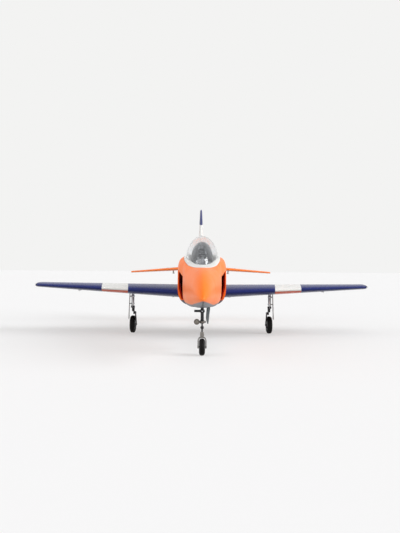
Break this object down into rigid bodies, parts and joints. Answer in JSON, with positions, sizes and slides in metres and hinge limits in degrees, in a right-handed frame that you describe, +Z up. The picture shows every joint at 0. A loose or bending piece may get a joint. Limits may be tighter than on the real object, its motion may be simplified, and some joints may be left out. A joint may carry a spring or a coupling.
{
  "type": "radio-controlled jet plane",
  "caption": "Foam sport jet with side intakes, bubble canopy, ducted fan, moving control surfaces and sprung retracting tricycle landing gear.",
  "frame": {"origin": "on the ground under the middle of the overall length, on the plane of symmetry", "axes": "-Y towards the nose, +Z up, +X towards the aircraft's left wing"},
  "size_m": [0.961, 1.13, 0.401],
  "materials": {
    "orange_foam": "satin",
    "white_foam": "satin",
    "navy_foam": "satin",
    "clear_canopy": "gloss",
    "cockpit_grey": "matte",
    "black_plastic": "satin",
    "grey_plastic": "satin",
    "white_plastic": "satin",
    "carbon": "satin",
    "silver_metal": "satin",
    "steel": "satin",
    "motor_metal": "satin",
    "magnet": "polished",
    "black_metal": "satin",
    "tyre_rubber": "matte",
    "battery_blue": "gloss",
    "plywood": "matte",
    "lens": "gloss",
    "lamp": "gloss",
    "tube_film": "gloss"
  },
  "bodies": {
    "root": {"nose_cone": "orange_foam", "fuselage_front": "orange_foam", "fuselage_centre": "orange_foam", "fuselage_rear": "white_foam", "nose_bay": "grey_plastic", "hatch_magnets": "magnet", "inlet_duct": "black_plastic", "fan_housing": "black_plastic", "fan_motor": "motor_metal", "thrust_tube": "tube_film", "wing_left": "navy_foam", "wing_right": "navy_foam", "wing_spar": "carbon", "wing_screws": "steel", "wingtip_lenses": "lens", "stabiliser": "orange_foam", "fin": "white_foam", "battery": "battery_blue", "battery_tray": "plywood", "speed_controller": "black_plastic", "receiver": "grey_plastic", "servos": "black_plastic", "main_retracts": "grey_plastic", "nose_retract": "grey_plastic"},
    "hatch": {"canopy_frame": "white_foam", "canopy_glass": "clear_canopy", "cockpit_tub": "cockpit_grey"},
    "fan": {"fan_rotor": "black_plastic"},
    "aileron_left": {"aileron_left": "navy_foam"},
    "aileron_right": {"aileron_right": "navy_foam"},
    "aileron_rod_left": {"aileron_rod_left": "steel"},
    "aileron_rod_right": {"aileron_rod_right": "steel"},
    "aileron_arm_left": {"aileron_servo_arm_left": "white_plastic"},
    "aileron_arm_right": {"aileron_servo_arm_right": "white_plastic"},
    "flap_left": {"flap_left": "navy_foam"},
    "flap_right": {"flap_right": "navy_foam"},
    "flap_rods": {"flap_rods": "steel"},
    "flap_arms": {"flap_servo_arms": "white_plastic"},
    "elevator_left": {"elevator_left": "orange_foam"},
    "elevator_right": {"elevator_right": "orange_foam"},
    "elevator_rods": {"elevator_rods": "steel"},
    "elevator_arms": {"elevator_servo_arms": "white_plastic"},
    "rudder": {"rudder": "navy_foam"},
    "main_leg_left": {"main_strut_left": "silver_metal", "strut_cover_left": "silver_metal"},
    "main_leg_right": {"main_strut_right": "silver_metal", "strut_cover_right": "silver_metal"},
    "main_arm_left": {"trailing_arm_left": "silver_metal"},
    "main_arm_right": {"trailing_arm_right": "silver_metal"},
    "main_wheel_left": {"main_hub_left": "silver_metal", "main_tyre_left": "tyre_rubber"},
    "main_wheel_right": {"main_hub_right": "silver_metal", "main_tyre_right": "tyre_rubber"},
    "nose_trunnion": {"nose_trunnion": "silver_metal"},
    "nose_leg": {"nose_leg": "black_metal", "nose_lamp": "lamp"},
    "nose_fork": {"nose_fork": "silver_metal"},
    "nose_wheel": {"nose_hub": "silver_metal", "nose_tyre": "tyre_rubber"},
    "nose_door": {"nose_door": "grey_plastic"}
  },
  "joints": [
    {"name": "hatch_lift", "type": "slide", "parent": "root", "child": "hatch", "axis": [0, 0, 1], "range_m": [0, 0.09]},
    {"name": "fan_spin", "type": "hinge", "parent": "root", "child": "fan", "pos_m": [0, 0.092, 0.16], "axis": [0, 1, 0], "continuous": true},
    {"name": "aileron_left_hinge", "type": "hinge", "parent": "root", "child": "aileron_left", "pos_m": [0.30203, 0.10742, 0.13355], "axis": [0.998, 0.0567, 0.0281], "range_deg": [-20, 20]},
    {"name": "aileron_right_hinge", "type": "hinge", "parent": "root", "child": "aileron_right", "pos_m": [-0.30203, 0.10742, 0.13355], "axis": [-0.998, 0.0567, 0.0281], "range_deg": [-20, 20]},
    {"name": "aileron_left_rod_pivot", "type": "hinge", "parent": "aileron_left", "child": "aileron_rod_left", "pos_m": [0.34977, 0.11014, 0.12289], "axis": [0.998, 0.0567, 0.0281], "range_deg": [-20, 20]},
    {"name": "aileron_right_rod_pivot", "type": "hinge", "parent": "aileron_right", "child": "aileron_rod_right", "pos_m": [-0.34977, 0.11014, 0.12289], "axis": [-0.998, 0.0567, 0.0281], "range_deg": [-20, 20]},
    {"name": "aileron_left_servo", "type": "hinge", "parent": "root", "child": "aileron_arm_left", "pos_m": [0.35284, 0.05021, 0.13489], "axis": [1, 0, 0], "range_deg": [-20, 20]},
    {"name": "aileron_right_servo", "type": "hinge", "parent": "root", "child": "aileron_arm_right", "pos_m": [-0.35284, 0.05021, 0.13489], "axis": [-1, 0, 0], "range_deg": [-20, 20]},
    {"name": "flap_left_hinge", "type": "hinge", "parent": "root", "child": "flap_left", "pos_m": [0.0675, 0.09409, 0.12694], "axis": [0.998, 0.0567, 0.0281], "range_deg": [-35, 0]},
    {"name": "flap_right_hinge", "type": "hinge", "parent": "root", "child": "flap_right", "pos_m": [-0.0675, 0.09409, 0.12694], "axis": [-0.998, 0.0567, 0.0281], "range_deg": [0, 35]},
    {"name": "flap_rod_pivot", "type": "hinge", "parent": "flap_left", "child": "flap_rods", "pos_m": [0.12827, 0.09754, 0.11464], "axis": [0.998, 0.0567, 0.0281], "range_deg": [0, 35]},
    {"name": "flap_servo", "type": "hinge", "parent": "root", "child": "flap_arms", "pos_m": [0.12958, 0.06757, 0.12864], "axis": [1, 0, 0], "range_deg": [-35, 0]},
    {"name": "elevator_left_hinge", "type": "hinge", "parent": "root", "child": "elevator_left", "pos_m": [0.046, 0.466, 0.18816], "axis": [0.9974, 0, -0.0724], "range_deg": [-20, 20]},
    {"name": "elevator_right_hinge", "type": "hinge", "parent": "root", "child": "elevator_right", "pos_m": [-0.046, 0.466, 0.18816], "axis": [-0.9974, 0, -0.0724], "range_deg": [-20, 20]},
    {"name": "elevator_rod_pivot", "type": "hinge", "parent": "elevator_left", "child": "elevator_rods", "pos_m": [0.09678, 0.466, 0.16944], "axis": [0.9974, 0, -0.0724], "range_deg": [-20, 20]},
    {"name": "elevator_servo", "type": "hinge", "parent": "root", "child": "elevator_arms", "pos_m": [0.09786, 0.424, 0.1844], "axis": [1, 0, 0], "range_deg": [-20, 20]},
    {"name": "rudder_hinge", "type": "hinge", "parent": "root", "child": "rudder", "pos_m": [0, 0.474, 0.2075], "axis": [0, 0.278, 0.9606], "range_deg": [-25, 25]},
    {"name": "main_retract_left", "type": "hinge", "parent": "root", "child": "main_leg_left", "pos_m": [0.1966, 0.038, 0.127], "axis": [0, 1, 0], "range_deg": [0, 90]},
    {"name": "main_retract_right", "type": "hinge", "parent": "root", "child": "main_leg_right", "pos_m": [-0.1966, 0.038, 0.127], "axis": [0, -1, 0], "range_deg": [0, 90]},
    {"name": "main_spring_left", "type": "hinge", "parent": "main_leg_left", "child": "main_arm_left", "pos_m": [0.1966, 0.038, 0.06], "axis": [-1, 0, 0], "range_deg": [-12, 0], "stiffness_Nm_per_rad": 0.8, "springref_deg": 20.05},
    {"name": "main_spring_right", "type": "hinge", "parent": "main_leg_right", "child": "main_arm_right", "pos_m": [-0.1966, 0.038, 0.06], "axis": [-1, 0, 0], "range_deg": [-12, 0], "stiffness_Nm_per_rad": 0.8, "springref_deg": 20.05},
    {"name": "main_wheel_left_spin", "type": "hinge", "parent": "main_arm_left", "child": "main_wheel_left", "pos_m": [0.1986, 0.06, 0.025], "axis": [1, 0, 0], "continuous": true},
    {"name": "main_wheel_right_spin", "type": "hinge", "parent": "main_arm_right", "child": "main_wheel_right", "pos_m": [-0.1986, 0.06, 0.025], "axis": [1, 0, 0], "continuous": true},
    {"name": "nose_retract", "type": "hinge", "parent": "root", "child": "nose_trunnion", "pos_m": [0, -0.36, 0.121], "axis": [1, 0, 0], "range_deg": [0, 90]},
    {"name": "nose_steering", "type": "hinge", "parent": "nose_trunnion", "child": "nose_leg", "pos_m": [0, -0.36, 0.1], "axis": [0, 0, 1], "range_deg": [-25, 25]},
    {"name": "nose_spring", "type": "slide", "parent": "nose_leg", "child": "nose_fork", "axis": [0, 0, -1], "range_m": [-0.005, 0], "stiffness_N_per_m": 300, "springref_m": 0.01},
    {"name": "nose_wheel_spin", "type": "hinge", "parent": "nose_fork", "child": "nose_wheel", "pos_m": [0, -0.36, 0.0185], "axis": [1, 0, 0], "continuous": true},
    {"name": "nose_door_hinge", "type": "hinge", "parent": "root", "child": "nose_door", "pos_m": [0.0155, -0.348, 0.1039], "axis": [0, 0.9976, -0.0689], "range_deg": [0, 84]}
  ],
  "couplings": [
    {"joint": "aileron_right_hinge", "follows": "aileron_left_hinge", "ratio": 1},
    {"joint": "aileron_left_rod_pivot", "follows": "aileron_left_hinge", "ratio": -1},
    {"joint": "aileron_right_rod_pivot", "follows": "aileron_left_hinge", "ratio": -1},
    {"joint": "aileron_left_servo", "follows": "aileron_left_hinge", "ratio": 1},
    {"joint": "aileron_right_servo", "follows": "aileron_left_hinge", "ratio": 1},
    {"joint": "flap_right_hinge", "follows": "flap_left_hinge", "ratio": -1},
    {"joint": "flap_rod_pivot", "follows": "flap_left_hinge", "ratio": -1},
    {"joint": "flap_servo", "follows": "flap_left_hinge", "ratio": 1},
    {"joint": "elevator_right_hinge", "follows": "elevator_left_hinge", "ratio": -1},
    {"joint": "elevator_rod_pivot", "follows": "elevator_left_hinge", "ratio": -1},
    {"joint": "elevator_servo", "follows": "elevator_left_hinge", "ratio": 1},
    {"joint": "main_retract_right", "follows": "main_retract_left", "ratio": 1},
    {"joint": "nose_retract", "follows": "main_retract_left", "ratio": 1},
    {"joint": "nose_steering", "follows": "rudder_hinge", "ratio": -1}
  ]
}
